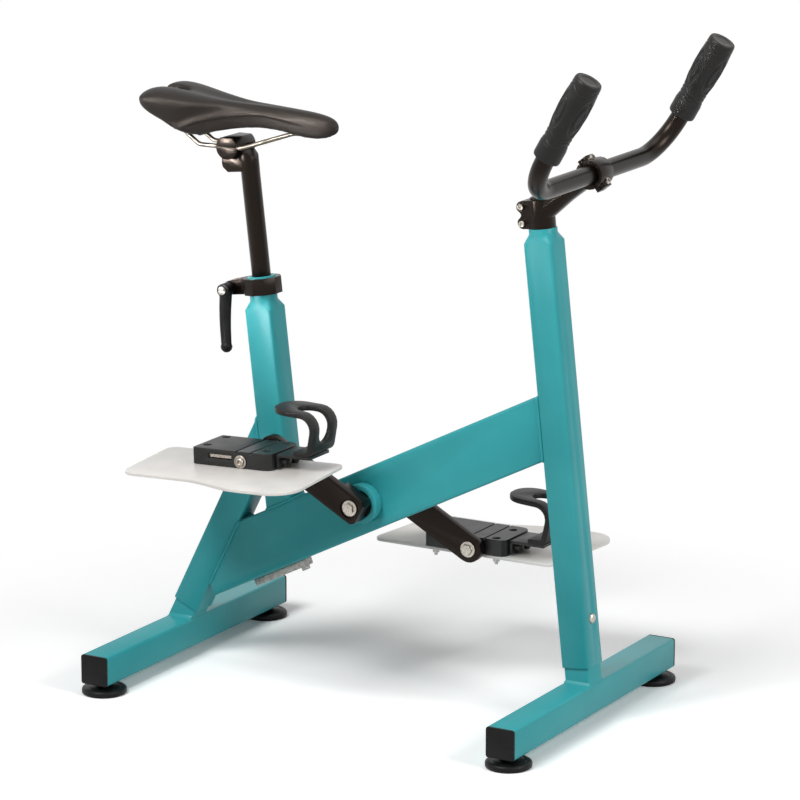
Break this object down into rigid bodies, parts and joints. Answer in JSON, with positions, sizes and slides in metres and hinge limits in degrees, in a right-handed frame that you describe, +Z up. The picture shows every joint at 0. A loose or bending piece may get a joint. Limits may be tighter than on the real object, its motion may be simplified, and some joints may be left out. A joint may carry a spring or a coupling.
{
  "type": "aqua bike",
  "caption": "Water exercise bike: two floor bars with screw feet, a sloped beam, cranks with paddled pedals and toe loops, a saddle on a sliding post and upright grips.",
  "frame": {"origin": "on the floor, under the middle of the bike's outline", "axes": "+Z up, +X towards the handlebar, +Y to the rider's left"},
  "size_m": [0.9374, 0.592, 1.099],
  "materials": {
    "frame_paint": "satin turquoise powder coat",
    "moulded_plastic": "fine matt black",
    "black_metal": "satin black",
    "rubber": "matt black",
    "steel": "turned",
    "zinc": "dull cast zinc",
    "white_nylon": "translucent white",
    "saddle_cover": "smooth synthetic leather"
  },
  "bodies": {
    "frame": {"front_base_bar": "frame_paint", "front_left_end_cap": "moulded_plastic", "front_right_end_cap": "moulded_plastic", "rear_base_bar": "frame_paint", "rear_left_end_cap": "moulded_plastic", "rear_right_end_cap": "moulded_plastic", "front_column": "frame_paint", "front_column_bolt": "steel", "rear_leg": "frame_paint", "rear_leg_bolt": "steel", "main_beam": "frame_paint", "anode": "zinc", "bearing_shell": "frame_paint", "left_bearing": "moulded_plastic", "right_bearing": "moulded_plastic", "seat_tube": "frame_paint", "seat_collar": "black_metal", "clamp_bolt": "steel", "steerer": "steel", "stem": "black_metal", "stem_top_cap": "black_metal", "stem_faceplate": "black_metal", "faceplate_lower_bolt": "steel", "faceplate_upper_bolt": "steel", "steerer_lower_bolt": "steel", "steerer_upper_bolt": "steel"},
    "front_left_screw_foot": {"front_left_foot": "moulded_plastic"},
    "front_right_screw_foot": {"front_right_foot": "moulded_plastic"},
    "rear_left_screw_foot": {"rear_left_foot": "moulded_plastic"},
    "rear_right_screw_foot": {"rear_right_foot": "moulded_plastic"},
    "crankset": {"crank_axle": "steel", "left_crank": "black_metal", "right_crank": "black_metal", "left_crank_bolt": "steel", "right_crank_bolt": "steel", "left_pedal_axle": "steel", "right_pedal_axle": "steel", "left_pedal_end_screw": "steel", "right_pedal_end_screw": "steel"},
    "left_pedal": {"left_pedal_body": "moulded_plastic", "left_pedal_inlay": "steel", "left_toe_bracket": "moulded_plastic", "left_toe_loop": "rubber", "left_paddle": "white_nylon"},
    "right_pedal": {"right_pedal_body": "moulded_plastic", "right_pedal_inlay": "steel", "right_toe_bracket": "moulded_plastic", "right_toe_loop": "rubber", "right_paddle": "white_nylon"},
    "seat_lever": {"clamp_lever": "moulded_plastic"},
    "post": {"seat_post": "black_metal"},
    "saddle_clamp": {"saddle_clamp_lower": "black_metal", "saddle_clamp_upper": "black_metal", "saddle_clamp_bolt": "steel"},
    "saddle": {"saddle_rails": "steel", "saddle_shell": "moulded_plastic", "saddle_pad": "saddle_cover"},
    "bars": {"handlebar": "black_metal", "left_grip": "rubber", "right_grip": "rubber"}
  },
  "joints": [
    {"name": "crank_spin", "type": "hinge", "parent": "frame", "child": "crankset", "pos_m": [-0.06057, 0, 0.322], "axis": [0, 1, 0], "continuous": true},
    {"name": "left_pedal_spin", "type": "hinge", "parent": "crankset", "child": "left_pedal", "pos_m": [0.08636, 0.126, 0.24055], "axis": [0, 1, 0], "continuous": true},
    {"name": "right_pedal_spin", "type": "hinge", "parent": "crankset", "child": "right_pedal", "pos_m": [-0.20751, -0.126, 0.40345], "axis": [0, 1, 0], "continuous": true},
    {"name": "seat_height", "type": "slide", "parent": "frame", "child": "post", "axis": [-0.1132, 0, 0.9936], "range_m": [-0.14, 0.11]},
    {"name": "saddle_tilt", "type": "hinge", "parent": "post", "child": "saddle_clamp", "pos_m": [-0.31865, 0, 0.88841], "axis": [0, 1, 0], "range_deg": [-12, 12]},
    {"name": "saddle_fore_aft", "type": "slide", "parent": "saddle_clamp", "child": "saddle", "axis": [1, 0, 0], "range_m": [0, 0.028]},
    {"name": "seat_lever_turn", "type": "hinge", "parent": "frame", "child": "seat_lever", "pos_m": [-0.32566, -0.024, 0.64958], "axis": [0, 1, 0], "range_deg": [0, 110]},
    {"name": "handlebar_tilt", "type": "hinge", "parent": "frame", "child": "bars", "pos_m": [0.34327, 0, 0.90217], "axis": [0, 1, 0], "range_deg": [-25, 25]},
    {"name": "front_left_foot_screw", "type": "slide", "parent": "frame", "child": "front_left_screw_foot", "axis": [0, 0, -1], "range_m": [0, 0.012]},
    {"name": "front_right_foot_screw", "type": "slide", "parent": "frame", "child": "front_right_screw_foot", "axis": [0, 0, -1], "range_m": [0, 0.012]},
    {"name": "rear_left_foot_screw", "type": "slide", "parent": "frame", "child": "rear_left_screw_foot", "axis": [0, 0, -1], "range_m": [0, 0.012]},
    {"name": "rear_right_foot_screw", "type": "slide", "parent": "frame", "child": "rear_right_screw_foot", "axis": [0, 0, -1], "range_m": [0, 0.012]}
  ]
}
